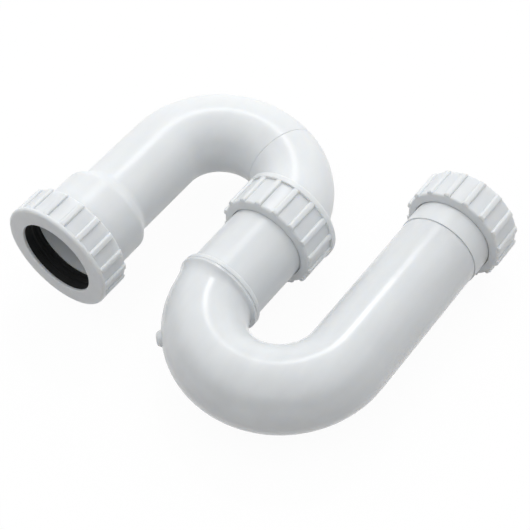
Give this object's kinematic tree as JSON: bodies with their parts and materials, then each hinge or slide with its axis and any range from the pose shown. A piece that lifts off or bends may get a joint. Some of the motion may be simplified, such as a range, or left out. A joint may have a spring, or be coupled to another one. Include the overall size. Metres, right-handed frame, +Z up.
{
  "type": "s trap",
  "caption": "Tubular swivel S trap for a basin waste: a water-seal bend and an upper bend joined by a union nut, with a captive inlet nut and a compression outlet.",
  "frame": {"origin": "Centre of the underside of the bounding box of the trap lying on its side.", "axes": "+Y points out of the inlet nut along the legs, +Z is up through the flat side of the S, +X runs from the outlet leg to the inlet leg."},
  "size_m": [0.18, 0.1464, 0.0598],
  "materials": {
    "moulded_polypropylene": "glossy white moulded polypropylene",
    "nut_polypropylene": "white moulded polypropylene, a little less glossy",
    "epdm_rubber": "matt black EPDM rubber"
  },
  "bodies": {
    "trap": {"trap_bend": "moulded_polypropylene", "inlet_tailpiece": "moulded_polypropylene", "union_sleeve": "moulded_polypropylene"},
    "inlet_ring": {"inlet_washer": "epdm_rubber"},
    "inlet_nut": {"inlet_nut": "nut_polypropylene"},
    "union_nut": {"union_nut": "nut_polypropylene"},
    "union_ring": {"union_washer": "epdm_rubber"},
    "crown": {"crown_elbow": "moulded_polypropylene", "outlet_leg": "moulded_polypropylene"},
    "outlet_ring": {"outlet_seal": "epdm_rubber"},
    "outlet_nut": {"outlet_nut": "nut_polypropylene"}
  },
  "joints": [
    {"name": "inlet_nut_turn", "type": "hinge", "parent": "trap", "child": "inlet_ring", "pos_m": [0.06649, 0.06742, 0.024], "axis": [0, 1, 0], "continuous": true},
    {"name": "inlet_nut_slide", "type": "slide", "parent": "inlet_ring", "child": "inlet_nut", "axis": [0, -1, 0], "range_m": [0, 0.0775]},
    {"name": "union_nut_turn", "type": "hinge", "parent": "union_ring", "child": "union_nut", "pos_m": [0.00169, 0.01742, 0.024], "axis": [0, -1, 0], "range_deg": [0, 900.1]},
    {"name": "outlet_swivel", "type": "hinge", "parent": "trap", "child": "union_ring", "pos_m": [0.00169, 0.01542, 0.024], "axis": [0, 1, 0], "range_deg": [-140, 124]},
    {"name": "union_parting", "type": "slide", "parent": "union_ring", "child": "crown", "axis": [0, 1, 0], "range_m": [0, 0.0075]},
    {"name": "outlet_seal_slide", "type": "slide", "parent": "crown", "child": "outlet_ring", "axis": [0, -1, 0], "range_m": [0, 0.0075]},
    {"name": "outlet_nut_turn", "type": "hinge", "parent": "outlet_ring", "child": "outlet_nut", "pos_m": [-0.06327, -0.04657, 0.03313], "axis": [0, -1, 0], "range_deg": [0, 900.1]}
  ],
  "couplings": [
    {"joint": "union_nut_turn", "follows": "union_parting", "rad_per_m": 2094.4},
    {"joint": "outlet_nut_turn", "follows": "outlet_seal_slide", "rad_per_m": 2094.4}
  ]
}
